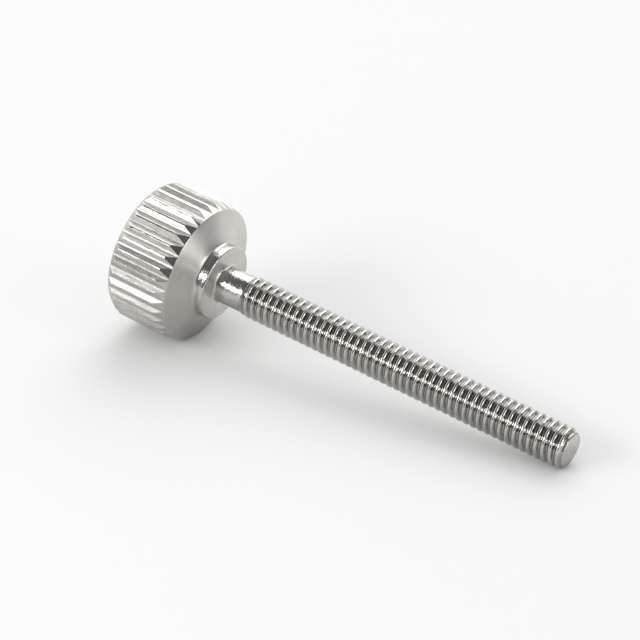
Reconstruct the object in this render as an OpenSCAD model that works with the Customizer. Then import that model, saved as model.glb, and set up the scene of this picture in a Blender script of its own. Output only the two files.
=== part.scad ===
// Thumb screw turned from one piece of bright metal, lying on its knurl and its tip.
// +X runs along the ground from the head to the tip and +Z is up.
// The origin is on the ground, under the middle of the part's box.
// Every length is in millimetres.

/* [Thread] */
// Outside diameter of the No. 8-32 thread, drawn as a plain cylinder
thread_d = 4.166; // [3.6:0.001:4.6]
// Diameter of the end face
tip_d = 3.3; // [2.4:0.01:3.5]
// Length of the lead-in cone before the end face
tip_cone_len = 0.45; // [0.2:0.01:1.2]
// Length from the collar's face to the end face
shank_len = 40.0; // [20:0.5:80]

/* [Neck] */
// Diameter of the plain neck, rolled down to the blank's size
neck_d = 3.78; // [3:0.01:4.1]
// Length of the neck, from the collar's face to where the thread starts
neck_len = 3.05; // [1:0.05:8]
// Length of the cone where the thread rises from the neck
thread_start_len = 0.25; // [0.1:0.01:0.6]
// Radius of the fillet where the neck meets the collar
neck_fillet = 0.25; // [0.1:0.01:0.6]

/* [Collar] */
// Diameter of the round collar that seats on the work
collar_d = 7.7; // [6:0.05:9]
// Length of the collar, from the foot of the head's cone to the collar's face
collar_len = 1.1; // [0.8:0.05:4]
// Radius on the collar's front edge
collar_edge = 0.15; // [0.05:0.01:0.3]
// Radius of the fillet between the cone and the collar
collar_fillet = 0.35; // [0.1:0.01:0.5]

/* [Head] */
// Diameter over the crests of the knurl
knurl_d = 14.6; // [10:0.1:20]
// Number of straight teeth in the knurl
knurl_teeth = 36; // [24:1:48]
// Depth of a groove, from the crests to its floor
knurl_depth = 0.33; // [0.1:0.01:0.34]
// Width of the land left on each crest
crest_land = 0.19; // [0.05:0.01:0.3]
// Width of each groove's floor
groove_floor = 0.2; // [0.05:0.01:0.3]
// Length of the crests between the two chamfers
knurl_len = 5.06; // [3:0.02:10]

/* [Head edges] */
// Depth of the chamfer behind the knurl, from the crests down to the back face
back_chamfer_depth = 0.41; // [0.36:0.01:1]
// Length of the chamfer behind the knurl
back_chamfer_len = 0.66; // [0.2:0.02:1.6]
// Depth of the chamfer in front of the knurl, from the crests down to the front edge
front_chamfer_depth = 0.35; // [0.34:0.01:1]
// Length of the chamfer in front of the knurl
front_chamfer_len = 1.12; // [0.3:0.02:2]
// Height of the cone between the front edge and the collar
cone_len = 1.2; // [0.3:0.05:3]

/* [Hidden] */
// How far a cutting tool or a blend runs past the surface that it meets
run_on = 0.2;
$fn = 100;
// Facets in a full turn of the small arcs, in previews
arc_fn = 32;

thread_r = thread_d / 2;
neck_r = neck_d / 2;
tip_r = tip_d / 2;
collar_r = collar_d / 2;
knurl_r = knurl_d / 2;
root_r = knurl_r - knurl_depth;
back_face_r = knurl_r - back_chamfer_depth;
front_edge_r = knurl_r - front_chamfer_depth;

// Stations along the screw's own axis, from the back face to the tip
crest_start_z = back_chamfer_len;
crest_end_z = crest_start_z + knurl_len;
front_edge_z = crest_end_z + front_chamfer_len;
cone_foot_z = front_edge_z + cone_len;
seat_z = cone_foot_z + collar_len;
neck_end_z = seat_z + neck_len;
tip_z = seat_z + shank_len;
lead_z = tip_z - tip_cone_len;

// Slope of the cone from a flat face
cone_slope = atan2(cone_len, front_edge_r - collar_r);

// Angle from one tooth of the knurl to the next
tooth_step = 360 / knurl_teeth;

// At rest the near edges of two crest lands, at their front ends, and the foot of the
// lead-in cone touch the ground
land_edge_angle = tooth_step / 2 - asin(crest_land / 2 / knurl_r);
rest_r = knurl_r * cos(land_edge_angle);
rest_tilt = atan2(rest_r - thread_r, lead_z - crest_end_z);
rest_height = crest_end_z * sin(rest_tilt) + rest_r * cos(rest_tilt);
low_x = -back_face_r * sin(rest_tilt);
high_x = tip_z * cos(rest_tilt) + tip_r * sin(rest_tilt);

// Half section as turned, from the back face to the tip
module turned_outline() {
    polygon([
        [0, 0],
        [back_face_r, 0],
        [knurl_r, crest_start_z],
        [knurl_r, crest_end_z],
        [front_edge_r, front_edge_z],
        [collar_r, cone_foot_z],
        [collar_r, seat_z],
        [neck_r, seat_z],
        [neck_r, neck_end_z],
        [thread_r, neck_end_z + thread_start_len],
        [thread_r, lead_z],
        [tip_r, tip_z],
        [0, tip_z]
    ]);
}

// Hollow blend between the cone and the collar's side
module collar_blend() {
    centre = [
        collar_r + collar_fillet,
        cone_foot_z + collar_fillet * (1 / cos(cone_slope) - tan(cone_slope))
    ];
    touch = centre - collar_fillet * [sin(cone_slope), cos(cone_slope)];
    difference() {
        polygon([
            [collar_r - run_on, cone_foot_z - run_on],
            touch,
            centre,
            [collar_r, centre[1]]
        ]);
        translate(centre) circle(collar_fillet, $fn = arc_fn);
    }
}

// Hollow blend between the collar's face and the neck
module neck_blend() {
    difference() {
        translate([neck_r - run_on, seat_z - run_on]) square(neck_fillet + run_on);
        translate([neck_r + neck_fillet, seat_z + neck_fillet]) circle(neck_fillet, $fn = arc_fn);
    }
}

// Corner taken off the collar's front edge to leave it round
module collar_edge_waste() {
    translate([collar_r - collar_edge, seat_z - collar_edge])
        difference() {
            square(collar_edge + run_on);
            circle(collar_edge, $fn = arc_fn);
        }
}

module turned_blank() {
    rotate_extrude()
        difference() {
            union() {
                turned_outline();
                collar_blend();
                neck_blend();
            }
            collar_edge_waste();
        }
}

// Section of one groove: its flanks rise from the floor to the edges of two crest lands.
// They run on past the crests at the same slope.
module groove_section() {
    floor_edge = [root_r, groove_floor / 2];
    crest_edge = knurl_r * [cos(land_edge_angle), sin(land_edge_angle)];
    past = crest_edge + (crest_edge - floor_edge) * run_on / knurl_depth;
    polygon([
        floor_edge,
        past,
        [past[0], -past[1]],
        [floor_edge[0], -floor_edge[1]]
    ]);
}

// The grooves run from behind the back face to past the front edge, with one straight down
// at rest. The two chamfers cut the crests between them back to triangles.
module knurl_waste() {
    for (i = [0 : knurl_teeth - 1])
        rotate(i * tooth_step)
            translate([0, 0, -run_on])
                linear_extrude(front_edge_z + 2 * run_on)
                    groove_section();
}

// Lays the screw down: its axis points along +X and dips towards the tip
module lie_down() {
    translate([-(low_x + high_x) / 2, 0, rest_height])
        rotate([0, 90 + rest_tilt, 0])
            children();
}

module thumb_screw() {
    color([0.76, 0.75, 0.73])
        lie_down()
            difference() {
                turned_blank();
                knurl_waste();
            }
}

thumb_screw();
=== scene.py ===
import math

import bpy
from mathutils import Matrix, Vector, noise


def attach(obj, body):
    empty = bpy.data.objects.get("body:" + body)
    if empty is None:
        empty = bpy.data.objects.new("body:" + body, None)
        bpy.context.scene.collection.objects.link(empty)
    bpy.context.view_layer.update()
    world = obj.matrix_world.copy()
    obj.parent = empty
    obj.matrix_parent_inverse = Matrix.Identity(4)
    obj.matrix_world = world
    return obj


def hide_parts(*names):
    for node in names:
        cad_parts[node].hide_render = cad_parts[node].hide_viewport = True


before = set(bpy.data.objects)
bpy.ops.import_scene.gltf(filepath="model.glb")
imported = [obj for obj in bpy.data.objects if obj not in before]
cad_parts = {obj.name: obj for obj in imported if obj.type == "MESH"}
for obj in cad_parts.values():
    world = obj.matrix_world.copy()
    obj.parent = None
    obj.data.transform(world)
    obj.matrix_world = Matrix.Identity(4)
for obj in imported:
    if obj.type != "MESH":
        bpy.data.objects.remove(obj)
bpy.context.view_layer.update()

MM = 0.001
FULL_TURN = 2 * math.pi

# The screw's sizes in millimetres, as in its CAD source. z runs along its own axis from the back
# face (0) to the tip, and r is the distance from that axis.
KNURL_R = 7.3
TEETH = 36
KNURL_DEPTH = 0.34
CREST_LAND = 0.19
GROOVE_FLOOR = 0.2
BACK_R = KNURL_R - 0.41
CREST_START = 0.66
CREST_END = CREST_START + 5.06
FRONT_R = KNURL_R - 0.35
FRONT_EDGE = CREST_END + 1.12
COLLAR_R = 3.85
CONE_FOOT = FRONT_EDGE + 1.2
SEAT = CONE_FOOT + 1.1
NECK_R = 1.89
THREAD_START = SEAT + 3.05
TIP = SEAT + 40.0
TIP_R = 1.65
TIP_CONE = 0.45
MAJOR_R = 2.083
FOOT_RADIUS = 0.35
RIM_RADIUS = 0.15
NECK_RADIUS = 0.25

# What the CAD leaves plain: the No. 8-32 thread, the small radii that a real edge has, and the
# dents along the crests.
PITCH = 25.4 / 32
FLANK_SLOPE = math.radians(60)
CREST_ROUND = 0.18
ROOT_ROUND = 0.14
THREAD_FADE = 0.35
FIRST_CREST = 0.23 * PITCH
LAND_RADIUS = 0.06
FLOOR_RADIUS = 0.08
CREST_END_RADIUS = 0.08
EDGE_RADIUS = 0.05

# Dents start DENT_ZONE under the crests and are full DENT_RISE above that. Along a crest they start
# DENT_MARGIN from its ends and are full DENT_FADE further in.
DENT_DEPTH = 0.03
DENTS_PER_MM = 1.5
DENT_ZONE = 0.05
DENT_RISE = 0.03
DENT_MARGIN = 0.1
DENT_FADE = 0.3

# The tip's face lies this far inside the CAD's, so that rounding can't take it past the CAD's box.
TIP_GAP = 0.0005

# How finely the mesh is divided. The rings' radii are in millimetres.
BACK_FACE_RINGS = (1.5, 4.5)
TIP_FACE_RING = TIP_R * 0.6
KNURL_ROWS = 28
THREAD_COLUMNS = 64
ARC_PIECES = 3

# A flank of the thread is as long as the two roundings leave it, and sets how deep the root lies.
FLANK = (PITCH / 2 - (CREST_ROUND + ROOT_ROUND) * math.sin(FLANK_SLOPE)) / math.cos(FLANK_SLOPE)
MINOR_R = (
    MAJOR_R
    - (CREST_ROUND + ROOT_ROUND) * (1 - math.cos(FLANK_SLOPE))
    - FLANK * math.sin(FLANK_SLOPE)
)

# At rest two lands and the tip's edge touch the ground, which tilts the axis a little.
STEP = FULL_TURN / TEETH
LAND_EDGE_ANGLE = STEP / 2 - math.asin(CREST_LAND / 2 / KNURL_R)
REST_R = KNURL_R * math.cos(LAND_EDGE_ANGLE)
REST_TILT = math.atan2(REST_R - MAJOR_R, TIP - TIP_CONE - CREST_END)
REST_HEIGHT = CREST_END * math.sin(REST_TILT) + REST_R * math.cos(REST_TILT)
LOW_X = -BACK_R * math.sin(REST_TILT)
HIGH_X = TIP * math.cos(REST_TILT) + TIP_R * math.sin(REST_TILT)
REST_PLACE = Vector((-(LOW_X + HIGH_X) / 2, 0, REST_HEIGHT))
REST_ANGLE = math.pi / 2 + REST_TILT
SCREW_AXIS = (math.cos(REST_TILT), 0, -math.sin(REST_TILT))


# ---------------------------------------------------------------- shapes in section

def smooth_step(x):
    x = min(max(x, 0), 1)
    return x * x * (3 - 2 * x)


def corner_arcs(points, radii, pieces):
    """An arc for each inner corner of the line through the points, as the list of its points."""
    # An arc takes up at most this share of a side, so two neighbours never meet.
    most = 0.45
    arcs = []
    for before, corner, after, radius, count in zip(points, points[1:], points[2:], radii, pieces):
        a = Vector(before) - Vector(corner)
        b = Vector(after) - Vector(corner)
        half = a.angle(b) / 2
        reach = min(radius / math.tan(half), most * a.length, most * b.length)
        start = Vector(corner) + a.normalized() * reach
        end = Vector(corner) + b.normalized() * reach
        inward = (a.normalized() + b.normalized()).normalized()
        centre = Vector(corner) + inward * (reach / math.cos(half))
        arm = start - centre
        turn = arm.angle_signed(end - centre)
        arc = []
        for i in range(count + 1):
            c = math.cos(-turn * i / count)
            s = math.sin(-turn * i / count)
            arc.append(tuple(centre + Vector((arm.x * c - arm.y * s, arm.x * s + arm.y * c))))
        arcs.append(arc)
    return arcs


def between(start, end, count):
    """That many points, evenly spaced inside the straight line from start to end."""
    return [
        tuple(a + (b - a) * i / (count + 1) for a, b in zip(start, end))
        for i in range(1, count + 1)
    ]


def knurl_columns():
    """(angle, radius) round the knurl's section.

    Each groove has a floor, two flanks and half a land on each side."""
    floor_r = KNURL_R - KNURL_DEPTH
    edge = (KNURL_R * math.cos(LAND_EDGE_ANGLE), KNURL_R * math.sin(LAND_EDGE_ANGLE))
    corners = [
        (KNURL_R * math.cos(STEP / 2), -KNURL_R * math.sin(STEP / 2)),
        (edge[0], -edge[1]),
        (floor_r, -GROOVE_FLOOR / 2),
        (floor_r, GROOVE_FLOOR / 2),
        edge,
        (KNURL_R * math.cos(STEP / 2), KNURL_R * math.sin(STEP / 2)),
    ]
    radii = (LAND_RADIUS, FLOOR_RADIUS, FLOOR_RADIUS, LAND_RADIUS)
    land, near, far, next_land = corner_arcs(corners, radii, pieces=(3, 3, 3, 3))
    groove = (
        corners[:1]
        + land
        + between(land[-1], near[0], 2)
        + near
        + far
        + between(far[-1], next_land[0], 2)
        + next_land
    )
    return [
        (tooth * STEP + math.atan2(y, x), math.hypot(x, y))
        for tooth in range(TEETH)
        for x, y in groove
    ]


def head_line(knurl_r):
    """(z, r) from the back face to the collar's face, in the column where the knurl has that radius.

    Each piece is (finish, points)."""
    back_rise = (knurl_r - BACK_R) / (KNURL_R - BACK_R)
    front_rise = (knurl_r - FRONT_R) / (KNURL_R - FRONT_R)
    corners = [
        (0, 0),
        (0, BACK_R),
        (back_rise * CREST_START, knurl_r),
        (FRONT_EDGE - front_rise * (FRONT_EDGE - CREST_END), knurl_r),
        (FRONT_EDGE, FRONT_R),
        (CONE_FOOT, COLLAR_R),
        (SEAT, COLLAR_R),
        (SEAT, NECK_R),
    ]
    back_edge, start, end, front_edge, foot, rim = corner_arcs(
        corners,
        radii=(EDGE_RADIUS, CREST_END_RADIUS, CREST_END_RADIUS, EDGE_RADIUS, FOOT_RADIUS, RIM_RADIUS),
        pieces=(3, 2, 2, 4, 8, 5),
    )
    return [
        ("turned", [(0, r) for r in BACK_FACE_RINGS] + back_edge[:-1]),
        ("chamfer", back_edge[-1:] + between(back_edge[-1], start[0], 1) + start[:-1]),
        ("knurl", start[-1:] + between(start[-1], end[0], KNURL_ROWS) + end[:1]),
        ("chamfer", end[1:] + between(end[-1], front_edge[0], 2) + front_edge[:2]),
        ("turned", front_edge[2:] + between(front_edge[-1], foot[0], 5) + foot[:4]),
        ("polished", foot[4:] + between(foot[-1], rim[0], 2) + rim[:4]),
        ("turned", rim[4:]),
    ]


def neck_line():
    """(z, r) from the collar's face to just before the start of the thread."""
    corners = [(SEAT, COLLAR_R), (SEAT, NECK_R), (THREAD_START, NECK_R)]
    fillet = corner_arcs(corners, radii=(NECK_RADIUS,), pieces=(7,))[0]
    return fillet + between(fillet[-1], corners[-1], 2)


def dented(angle, z, r):
    """The radius r with the small dents that cutting the grooves leaves along the crests."""
    crest = smooth_step((r - KNURL_R + DENT_ZONE) / DENT_RISE)
    from_start = smooth_step((z - CREST_START - DENT_MARGIN) / DENT_FADE)
    from_end = smooth_step((CREST_END - DENT_MARGIN - z) / DENT_FADE)
    depth = crest * from_start * from_end * DENT_DEPTH
    if depth == 0:
        return r
    place = Vector((r * math.cos(angle), r * math.sin(angle), z)) * DENTS_PER_MM
    return r - depth * (0.5 + 0.5 * noise.noise(place))


def thread_profile():
    """(z offset, r) over one pitch, from a crest's middle to just before the next one."""
    slopes = [FLANK_SLOPE * i / ARC_PIECES for i in range(ARC_PIECES + 1)]
    crest = [
        (CREST_ROUND * math.sin(slope), MAJOR_R - CREST_ROUND * (1 - math.cos(slope)))
        for slope in slopes
    ]
    root = [
        (PITCH / 2 - ROOT_ROUND * math.sin(slope), MINOR_R + ROOT_ROUND * (1 - math.cos(slope)))
        for slope in reversed(slopes)
    ]
    down = crest + root
    up = [(PITCH - z, r) for z, r in reversed(down[1:-1])]
    return down + up


def thread_radius(z, r):
    """The profile's radius r at z, as it rises from the neck and as the tip's cone cuts it."""
    r = NECK_R + (r - NECK_R) * smooth_step((z - THREAD_START) / THREAD_FADE)
    cone = TIP_R + (MAJOR_R - TIP_R) * (TIP - z) / TIP_CONE
    return min(r, cone)


# ---------------------------------------------------------------- mesh

FINISHES = ("turned", "chamfer", "knurl", "polished", "thread")


class Mesh:
    """Points in metres and faces, each face with the number of its finish."""

    def __init__(self):
        self.points = []
        self.faces = []
        self.finish = []

    def point(self, angle, z, r):
        self.points.append((r * math.cos(angle) * MM, r * math.sin(angle) * MM, z * MM))
        return len(self.points) - 1

    def ring(self, angles, z, r):
        return [self.point(a, z, r) for a in angles]

    def face(self, corners, finish):
        """Corners that are the same point count once. A face with fewer than three is left out."""
        seen = []
        for c in corners:
            if c not in seen:
                seen.append(c)
        if len(seen) > 2:
            self.faces.append(seen)
            self.finish.append(FINISHES.index(finish))

    def band(self, low, high, finish):
        """Faces between two rings with the same number of points."""
        n = len(low)
        for i in range(n):
            j = (i + 1) % n
            self.face((low[i], low[j], high[j], high[i]), finish)

    def cap(self, ring, z, finish, outward):
        """A fan over the ring. Outward is True where it faces along the axis, towards the tip."""
        centre = self.point(0, z, 0)
        n = len(ring)
        for i in range(n):
            j = (i + 1) % n
            self.face((ring[i], ring[j], centre) if outward else (ring[j], ring[i], centre), finish)

    def stitch(self, low, low_angles, high, high_angles, finish):
        """Triangles between two rings whose points stand at different angles.

        The angles of both rise from about 0."""
        n = len(low)
        m = len(high)
        i = 0
        j = 0
        while i < n or j < m:
            next_low = low_angles[i + 1] if i + 1 < n else low_angles[0] + FULL_TURN
            next_high = high_angles[j + 1] if j + 1 < m else high_angles[0] + FULL_TURN
            if j == m or (i < n and next_low <= next_high):
                self.face((low[i % n], low[(i + 1) % n], high[j % m]), finish)
                i += 1
            else:
                self.face((low[i % n], high[(j + 1) % m], high[j % m]), finish)
                j += 1


def add_head(mesh):
    """The head, its cone and the collar's side.

    Returns the last ring's points with their angles, which rise from about 0."""
    columns = knurl_columns()
    angles = [a for a, r in columns]
    lines = [head_line(r) for a, r in columns]
    rows = []
    for part, (finish, points) in enumerate(lines[0]):
        for k in range(len(points)):
            ring = []
            for angle, line in zip(angles, lines):
                z, r = line[part][1][k]
                ring.append(mesh.point(angle, z, dented(angle, z, r)))
            rows.append((ring, finish))
    for (low, finish), (high, _) in zip(rows, rows[1:]):
        mesh.band(low, high, finish)
    mesh.cap(rows[0][0], 0, "turned", False)

    count = len(angles)
    first = min(range(count), key=lambda i: abs(math.remainder(angles[i], FULL_TURN)))
    order = [(first + i) % count for i in range(count)]
    rim_angles = [math.remainder(angles[i], FULL_TURN) for i in order]
    for i in range(1, count):
        while rim_angles[i] < rim_angles[i - 1]:
            rim_angles[i] += FULL_TURN
    last_ring = rows[-1][0]
    return [last_ring[i] for i in order], rim_angles


def add_thread(mesh, angles, start):
    """The thread from the start ring to the tip's edge. Returns the ring at the tip's edge."""
    # The helix runs over at both ends, and what lies past the start or the tip falls on their rings.
    profile = thread_profile()
    turns = int((TIP - THREAD_START) / PITCH) + 3
    grid = []
    end = []
    for c, angle in enumerate(angles):
        column = []
        for k in range(-2, turns):
            for offset, r in profile:
                z = THREAD_START + FIRST_CREST + PITCH * (k + c / THREAD_COLUMNS) + offset
                if z <= THREAD_START:
                    column.append(start[c])
                elif z >= TIP:
                    if len(end) == c:
                        end.append(mesh.point(angle, TIP - TIP_GAP, TIP_R))
                    column.append(end[c])
                else:
                    column.append(mesh.point(angle, z, thread_radius(z, r)))
        grid.append(column)

    # The last column meets the first one a pitch further on, which is what makes it a helix.
    neighbours = grid[1:] + [grid[0][len(profile):]]
    for here, there in zip(grid, neighbours):
        for k in range(min(len(here), len(there)) - 1):
            mesh.face((here[k], there[k], there[k + 1], here[k + 1]), "thread")
    return end


def build_screw():
    mesh = Mesh()
    rim, rim_angles = add_head(mesh)

    even = [FULL_TURN * i / THREAD_COLUMNS for i in range(THREAD_COLUMNS)]
    neck = [mesh.ring(even, z, r) for z, r in neck_line()]
    mesh.stitch(rim, rim_angles, neck[0], even, "turned")
    for low, high in zip(neck, neck[1:]):
        mesh.band(low, high, "polished")
    start = mesh.ring(even, THREAD_START, NECK_R)
    mesh.band(neck[-1], start, "polished")

    end = add_thread(mesh, even, start)
    inner = mesh.ring(even, TIP - TIP_GAP, TIP_FACE_RING)
    mesh.band(end, inner, "turned")
    mesh.cap(inner, TIP - TIP_GAP, "turned", True)
    return mesh


def place_in_scene(thing):
    bpy.context.scene.collection.objects.link(thing)


screw_mesh = build_screw()
data = bpy.data.meshes.new("thumb_screw_metal")
data.from_pydata(screw_mesh.points, [], screw_mesh.faces)
data.polygons.foreach_set("material_index", screw_mesh.finish)
data.polygons.foreach_set("use_smooth", [True] * len(screw_mesh.faces))
data.transform(Matrix.Translation(REST_PLACE * MM) @ Matrix.Rotation(REST_ANGLE, 4, "Y"))
data.update()
data.validate()
screw = bpy.data.objects.new("thumb_screw_metal", data)
place_in_scene(screw)
keep_flats_flat = screw.modifiers.new("keep_flats_flat", "WEIGHTED_NORMAL")
keep_flats_flat.weight = 100


# ---------------------------------------------------------------- materials

# The plating's tint, as the red, green and blue of its brightest white.
TINT = (1, 0.971, 0.918)


class Nodes:
    """A node tree with short ways to add to it."""

    def __init__(self, tree):
        self.tree = tree

    def node(self, kind, inputs, **settings):
        """A new node. Each input is a value or another node's output."""
        made = self.tree.nodes.new(kind)
        for name, value in settings.items():
            setattr(made, name, value)
        for socket, value in inputs.items():
            if isinstance(value, bpy.types.NodeSocket):
                self.tree.links.new(value, made.inputs[socket])
            else:
                made.inputs[socket].default_value = value
        return made

    def math(self, operation, a, b=0.0):
        return self.node("ShaderNodeMath", {0: a, 1: b}, operation=operation).outputs[0]

    def vector(self, operation, inputs):
        return self.node("ShaderNodeVectorMath", inputs, operation=operation)

    def step(self, value, low, high):
        """0 below low and 1 above high, with a smooth rise between. A low above high makes it fall."""
        inputs = {"Value": value, "From Min": low, "From Max": high}
        return self.node("ShaderNodeMapRange", inputs, interpolation_type="SMOOTHSTEP").outputs["Result"]

    def surface(self, output, factor, first, second):
        """The first shader where the factor is 0 and the second where it is 1."""
        mix = self.node("ShaderNodeMixShader", {"Fac": factor, 1: first, 2: second})
        self.tree.links.new(mix.outputs[0], self.tree.nodes[output].inputs["Surface"])


class Metal(Nodes):
    """A bright metal's material. place is the point in the screw's own axes in millimetres."""

    def __init__(self, name, anisotropic=0):
        self.material = bpy.data.materials.new(name)
        self.material.use_nodes = True
        super().__init__(self.material.node_tree)
        self.shader = self.tree.nodes["Principled BSDF"]
        self.shader.inputs["Metallic"].default_value = 1
        self.shader.inputs["Anisotropic"].default_value = anisotropic
        self.find_place()

    def find_place(self):
        """Sets place, its x, y and z, and its distance r from the axis."""
        inputs = {
            "Vector": self.node("ShaderNodeTexCoord", {}).outputs["Object"],
            "Location": REST_PLACE * MM,
            "Rotation": (0, REST_ANGLE, 0),
            "Scale": (MM, MM, MM),
        }
        self.place = self.node("ShaderNodeMapping", inputs, vector_type="TEXTURE").outputs[0]
        self.x, self.y, self.z = self.node("ShaderNodeSeparateXYZ", {0: self.place}).outputs
        self.r = self.length(self.x, self.y)

    def length(self, a, b):
        """The long side of a right triangle with the sides a and b."""
        squares = self.math("ADD", self.math("MULTIPLY", a, a), self.math("MULTIPLY", b, b))
        return self.math("SQRT", squares)

    def xyz(self, x, y, z):
        return self.node("ShaderNodeCombineXYZ", {0: x, 1: y, 2: z}).outputs[0]

    def noise(self, per_mm, detail, where=None):
        """Noise from 0 to 1 with about that many lumps in a millimetre."""
        inputs = {"Vector": where or self.place, "Scale": per_mm, "Detail": detail, "Roughness": 0.6}
        return self.node("ShaderNodeTexNoise", inputs).outputs["Fac"]

    def scaled(self, value, low, high):
        """A value from 0 to 1, spread from low to high."""
        return self.math("ADD", self.math("MULTIPLY", value, high - low), low)

    def along_rings(self):
        """A place that is the same all the way round the screw."""
        return self.xyz(self.r, self.z, 0.0)

    def edge(self, z, r, width):
        """1 on the edge that runs round the screw at z and r, and 0 at that width from it."""
        away = self.length(self.math("SUBTRACT", self.z, z), self.math("SUBTRACT", self.r, r))
        return self.step(away, low=width, high=0.0)

    def tangent_across_rings(self):
        """Lathe marks run round the axis, so a highlight spreads across them."""
        position = self.node("ShaderNodeNewGeometry", {}).outputs["Position"]
        away = self.vector("SUBTRACT", {0: position, 1: REST_PLACE * MM}).outputs[0]
        around = self.vector("CROSS_PRODUCT", {0: SCREW_AXIS, 1: away}).outputs[0]
        even = self.vector("NORMALIZE", {0: around}).outputs[0]
        self.tree.links.new(even, self.shader.inputs["Tangent"])
        self.shader.inputs["Anisotropic Rotation"].default_value = 0.25

    def colour(self, factor, dark, bright):
        """The plating's tint, from the dark shade at factor 0 to the bright one at factor 1."""
        # Inputs 6 and 7 are the node's two colours, and output 2 is the colour mixed from them.
        mix = self.node("ShaderNodeMix", {}, data_type="RGBA")
        self.tree.links.new(factor, mix.inputs["Factor"])
        mix.inputs[6].default_value = (*(dark * part for part in TINT), 1)
        mix.inputs[7].default_value = (*(bright * part for part in TINT), 1)
        self.tree.links.new(mix.outputs[2], self.shader.inputs["Base Color"])

    def finish(self, roughness, *bumps):
        """Links the roughness and lays the bumps, (height, millimetres), on each other."""
        self.tree.links.new(roughness, self.shader.inputs["Roughness"])
        below = None
        for height, size in bumps:
            inputs = {"Height": height, "Distance": size * MM}
            if below:
                inputs["Normal"] = below
            below = self.node("ShaderNodeBump", inputs).outputs[0]
        self.tree.links.new(below, self.shader.inputs["Normal"])
        return self.material


def turned_metal():
    """Satin faces off the lathe: fine rings, faint blotches, a few nicks, and edges worn brighter."""
    look = Metal("turned", anisotropic=0.75)
    look.tangent_across_rings()
    rings = look.noise(per_mm=5.0, detail=4.0, where=look.along_rings())
    blotch = look.noise(per_mm=0.55, detail=3.0)
    nicks = look.step(look.noise(per_mm=2.2, detail=2.0), low=0.69, high=0.76)
    front_edge = look.edge(FRONT_EDGE, FRONT_R, width=0.14)
    rim_edge = look.edge(SEAT, COLLAR_R, width=0.12)
    back_edge = look.edge(0.0, BACK_R, width=0.12)
    worn = look.math("MAXIMUM", front_edge, look.math("MAXIMUM", rim_edge, back_edge))
    shade = look.math("ADD", look.math("MULTIPLY", rings, 0.3), look.math("MULTIPLY", blotch, 0.7))
    shade = look.math("SUBTRACT", look.math("MAXIMUM", shade, worn), look.math("MULTIPLY", nicks, 0.35))
    look.colour(shade, dark=0.515, bright=0.745)
    smoother = look.math("MULTIPLY", worn, -0.12)
    rough = look.math("ADD", look.scaled(rings, low=0.27, high=0.39), smoother)
    return look.finish(rough, (rings, 0.003), (nicks, -0.012))


def chamfer_metal():
    """The chamfers' bright turned faces, left between the grooves."""
    look = Metal("chamfer", anisotropic=0.4)
    look.tangent_across_rings()
    rings = look.noise(per_mm=6.0, detail=3.0, where=look.along_rings())
    blotch = look.noise(per_mm=1.6, detail=3.0)
    look.colour(blotch, dark=0.42, bright=0.77)
    mean = look.math("MULTIPLY", look.math("ADD", rings, blotch), 0.5)
    rough = look.scaled(mean, low=0.05, high=0.16)
    return look.finish(rough, (rings, 0.003), (blotch, 0.012))


def knurl_metal():
    """Groove walls with a grain along the cut and fine specks, and crests rubbed bright in places."""
    look = Metal("knurl")
    grain_place = look.xyz(look.x, look.y, look.math("MULTIPLY", look.z, 0.12))
    grain = look.step(look.noise(per_mm=4.0, detail=5.0, where=grain_place), low=0.3, high=0.7)
    specks = look.step(look.noise(per_mm=4.5, detail=3.0), low=0.35, high=0.65)
    lumps = look.noise(per_mm=3.2, detail=3.0)
    blotch = look.noise(per_mm=0.8, detail=2.0)
    ragged = look.math("ADD", look.r, look.math("MULTIPLY", lumps, 0.06))
    crest = look.step(ragged, low=KNURL_R - 0.04, high=KNURL_R)
    marks = look.math("ADD", look.math("MULTIPLY", grain, 0.45), look.math("MULTIPLY", specks, 0.25))
    shade = look.math("ADD", marks, look.math("MULTIPLY", blotch, 0.3))
    look.colour(shade, dark=0.43, bright=0.83)
    rubbed = look.math("MULTIPLY", crest, 0.28)
    rough = look.math("SUBTRACT", look.scaled(specks, low=0.36, high=0.48), rubbed)
    return look.finish(rough, (grain, 0.008), (specks, 0.003), (lumps, 0.006))


def polished_metal(name, painted_root_shade, wave_height):
    """Mirror-bright plating that still shows the bar's soft waves, with painted shade darkening the
    thread's root.
    """
    look = Metal(name)
    waves = look.noise(per_mm=2.5, detail=3.0)
    rings = look.noise(per_mm=4.0, detail=3.0, where=look.along_rings())
    blotch = look.noise(per_mm=0.9, detail=3.0)
    # Painted shade: the colour darkens towards the thread's root, where the root lies in shade.
    height = look.step(look.r, low=MINOR_R + 0.05, high=MAJOR_R)
    root_painted_shade = look.scaled(height, low=painted_root_shade, high=1.0)
    shade = look.math("MULTIPLY", look.scaled(blotch, low=0.45, high=0.77), root_painted_shade)
    look.colour(shade, dark=0.12, bright=0.96)
    rough = look.scaled(look.math("MULTIPLY", rings, blotch), low=0.06, high=0.2)
    return look.finish(rough, (waves, wave_height), (rings, 0.002))


LOOKS = {
    "turned": turned_metal(),
    "chamfer": chamfer_metal(),
    "knurl": knurl_metal(),
    "polished": polished_metal("polished", painted_root_shade=1.0, wave_height=0.045),
    # The thread's roots get painted shade, at half the brightness of the rest.
    "thread": polished_metal("thread", painted_root_shade=0.5, wave_height=0.026),
}
for finish in FINISHES:
    data.materials.append(LOOKS[finish])
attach(screw, "root")
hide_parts("thumb_screw")

# ---------------------------------------------------------------- floor, light and camera

# The floor and the light, in metres and with shades from 0 to 1.
FLOOR_REACH = 3
FLOOR_SHADE = 0.9
FLOOR_ROUGHNESS = 1
WHITE_FROM = 0.12
WHITE_TO = 0.4
WORLD_LIGHT = 0.71
WHITE = (1, 1, 1, 1)
LAMP_TARGET = Vector((0, 0, 0.008))

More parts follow.
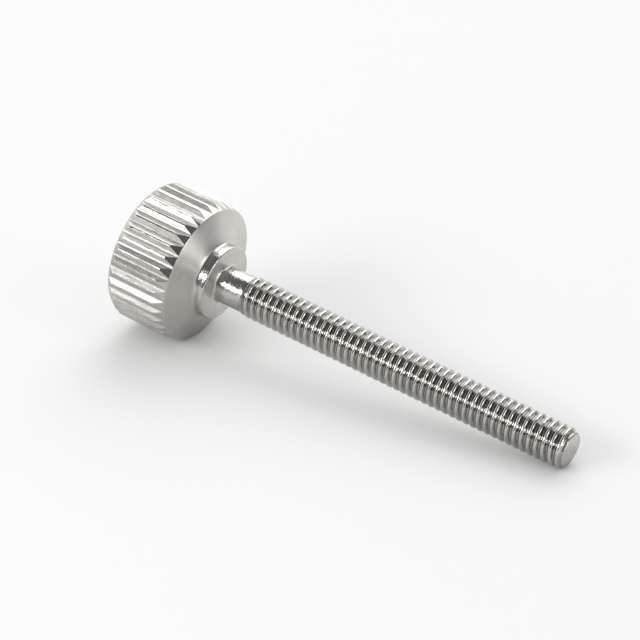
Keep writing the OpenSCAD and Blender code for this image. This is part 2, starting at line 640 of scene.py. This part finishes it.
# The dark and grey parts of the room, which the metal mirrors. FROM and TO are azimuths in degrees.
CARD_ROUGHNESS = 0.9
DARK = 0.14
# The next grey is painted shade: the floor round the screw as the metal mirrors it.
TABLE_DARK = 0.25
MIRRORED_SHADE_GREY = 0.66
TABLE_Z = 1e-4
ROOM_AZIMUTH = -80
ROOM_HEIGHT = 0.5
ROOM_LEFT = -0.45
ROOM_RIGHT = 0.5
FRONT_WALL = 0.6
CEILING_FRONT = 0.62
CEILING_BACK = -0.14
CEILING_BACK_LEFT = -0.3
SIDE_DISTANCE = 0.5
SIDE_FROM = 16
SIDE_TO = 66
SIDE_LOW = 0.03
SIDE_HIGH = 0.3
FAR_FROM = 33
FAR_TO = 54
FAR_START = 0.03
FAR_END = 0.5
GREY_REACH = -0.6
GREY_RIGHT = 0.03
GREY_BACK = 0.003

# The camera, as solved from the outlines in the photo. Its focal length is in the photo's pixels.
PHOTO_SIDE = 640
FOCAL_LENGTH = 3100
SENSOR = 36
CLIP_START = 0.01
CAMERA_PLACE = Vector((139.766, -218.217, 154.769)) * MM
CAMERA_RIGHT = Vector((0.82843, 0.55964, 0.02245))
CAMERA_UP = Vector((-0.29268, 0.39839, 0.86926))


def direction(azimuth, elevation):
    """The unit vector that way, from angles in degrees."""
    a = math.radians(azimuth)
    e = math.radians(elevation)
    return Vector((math.cos(e) * math.cos(a), math.cos(e) * math.sin(a), math.sin(e)))


def rectangle(left, right, front, back, z):
    return [(left, front, z), (right, front, z), (right, back, z), (left, back, z)]


def sheet(name, corners, shade, roughness):
    """A flat part of the set in an even grey."""
    sheet_data = bpy.data.meshes.new(name)
    sheet_data.from_pydata(corners, [], [(0, 1, 2, 3)])
    made = bpy.data.objects.new(name, sheet_data)
    place_in_scene(made)
    look = bpy.data.materials.new(name)
    look.use_nodes = True
    shader = look.node_tree.nodes["Principled BSDF"]
    shader.inputs["Base Color"].default_value = (shade, shade, shade, 1)
    shader.inputs["Roughness"].default_value = roughness
    sheet_data.materials.append(look)
    return made


def add_floor():
    """Far from the screw, where no shadow of it falls, the floor runs into the white background."""
    corners = rectangle(-FLOOR_REACH, FLOOR_REACH, -FLOOR_REACH, FLOOR_REACH, 0)
    floor = sheet("floor", corners, FLOOR_SHADE, FLOOR_ROUGHNESS)
    look = Nodes(floor.data.materials[0].node_tree)
    place = look.node("ShaderNodeTexCoord", {}).outputs["Object"]
    distance = look.vector("LENGTH", {0: place}).outputs["Value"]
    far = look.step(distance, low=WHITE_FROM, high=WHITE_TO)
    ray = look.node("ShaderNodeLightPath", {})
    seen_far = look.math("MULTIPLY", far, ray.outputs["Is Camera Ray"])
    plain = look.tree.nodes["Principled BSDF"].outputs[0]
    white = look.node("ShaderNodeEmission", {"Color": WHITE}).outputs[0]
    look.surface("Material Output", seen_far, plain, white)


def add_world():
    """Soft light from all round, and white where the camera or a mirrored ray sees it."""
    world = bpy.data.worlds.new("studio")
    bpy.context.scene.world = world
    world.use_nodes = True
    look = Nodes(world.node_tree)
    background = look.tree.nodes["Background"]
    background.inputs["Color"].default_value = WHITE
    background.inputs["Strength"].default_value = 1
    lit = look.node("ShaderNodeBackground", {"Color": WHITE, "Strength": WORLD_LIGHT}).outputs[0]
    ray = look.node("ShaderNodeLightPath", {})
    either = look.math("MAXIMUM", ray.outputs["Is Camera Ray"], ray.outputs["Is Glossy Ray"])
    seen = look.math("MAXIMUM", either, ray.outputs["Is Transmission Ray"])
    look.surface("World Output", seen, lit, background.outputs[0])


def soft_box(name, azimuth, elevation, distance, width, height, radiance):
    """A lamp with that radiance, where a plain white surface has 1. The camera doesn't see it."""
    lamp_data = bpy.data.lights.new(name, "AREA")
    lamp_data.shape = "RECTANGLE"
    lamp_data.size = width
    lamp_data.size_y = height
    lamp_data.energy = math.pi * width * height * radiance
    lamp = bpy.data.objects.new(name, lamp_data)
    place_in_scene(lamp)
    place = direction(azimuth, elevation) * distance
    lamp.location = place
    lamp.rotation_euler = (LAMP_TARGET - place).to_track_quat("-Z", "Y").to_euler()
    lamp.visible_camera = False


def flag(name, shade, corners):
    """A card that only mirrored rays see."""
    card = sheet(name, corners, shade, CARD_ROUGHNESS)
    card.visible_camera = False
    card.visible_diffuse = False
    card.visible_shadow = False


def in_room(forward, sideways, up):
    """A point that far from the screw along the room's own directions."""
    front = direction(ROOM_AZIMUTH, 0)
    side = direction(ROOM_AZIMUTH + 90, 0)
    return tuple(front * forward + side * sideways + Vector((0, 0, up)))


def around(azimuth, distance, up):
    """A point at that azimuth and distance from the screw, and that high."""
    return tuple(direction(azimuth, 0) * distance + Vector((0, 0, up)))


def add_flags():
    ceiling = [
        in_room(CEILING_BACK, CEILING_BACK_LEFT, ROOM_HEIGHT),
        in_room(CEILING_FRONT, ROOM_LEFT, ROOM_HEIGHT),
        in_room(CEILING_FRONT, ROOM_RIGHT, ROOM_HEIGHT),
        in_room(CEILING_BACK, ROOM_RIGHT, ROOM_HEIGHT),
    ]
    front_wall = [
        in_room(FRONT_WALL, ROOM_LEFT, 0),
        in_room(FRONT_WALL, ROOM_RIGHT, 0),
        in_room(FRONT_WALL, ROOM_RIGHT, ROOM_HEIGHT),
        in_room(FRONT_WALL, ROOM_LEFT, ROOM_HEIGHT),
    ]
    side_card = [
        around(SIDE_FROM, SIDE_DISTANCE, SIDE_LOW),
        around(SIDE_TO, SIDE_DISTANCE, SIDE_LOW),
        around(SIDE_TO, SIDE_DISTANCE, SIDE_HIGH),
        around(SIDE_FROM, SIDE_DISTANCE, SIDE_HIGH),
    ]
    far_table = [
        around(FAR_FROM, FAR_START, TABLE_Z),
        around(FAR_FROM, FAR_END, TABLE_Z),
        around(FAR_TO, FAR_END, TABLE_Z),
        around(FAR_TO, FAR_START, TABLE_Z),
    ]
    # Painted shade: a grey sheet on the floor round the screw that only mirrored rays see, so the metal
    # mirrors the floor there darker than the camera sees it.
    mirrored_shade_sheet = rectangle(GREY_REACH, GREY_RIGHT, GREY_REACH, GREY_BACK, TABLE_Z)
    flag("ceiling", DARK, ceiling)
    flag("front_wall", DARK, front_wall)
    flag("side_card", DARK, side_card)
    flag("far_table", TABLE_DARK, far_table)
    flag("mirrored_shade_sheet", MIRRORED_SHADE_GREY, mirrored_shade_sheet)


def add_camera():
    camera_data = bpy.data.cameras.new("camera")
    camera_data.sensor_width = SENSOR
    camera_data.lens = SENSOR * FOCAL_LENGTH / PHOTO_SIDE
    camera_data.clip_start = CLIP_START
    camera = bpy.data.objects.new("camera", camera_data)
    place_in_scene(camera)
    axes = Matrix((CAMERA_RIGHT, CAMERA_UP, CAMERA_RIGHT.cross(CAMERA_UP)))
    camera.matrix_world = Matrix.Translation(CAMERA_PLACE) @ axes.transposed().to_4x4()
    bpy.context.scene.camera = camera


add_floor()
add_world()
soft_box("back_box", azimuth=108, elevation=45, distance=0.8, width=0.72, height=0.68, radiance=1.4)
soft_box("left_strip", azimuth=-120, elevation=29.3, distance=0.5, width=0.36, height=0.12, radiance=5.8)
soft_box("right_box", azimuth=5, elevation=12, distance=0.7, width=0.1, height=0.28, radiance=5.0)
add_flags()
add_camera()

bpy.context.scene.view_settings.view_transform = "Standard"

bpy.context.view_layer.update()
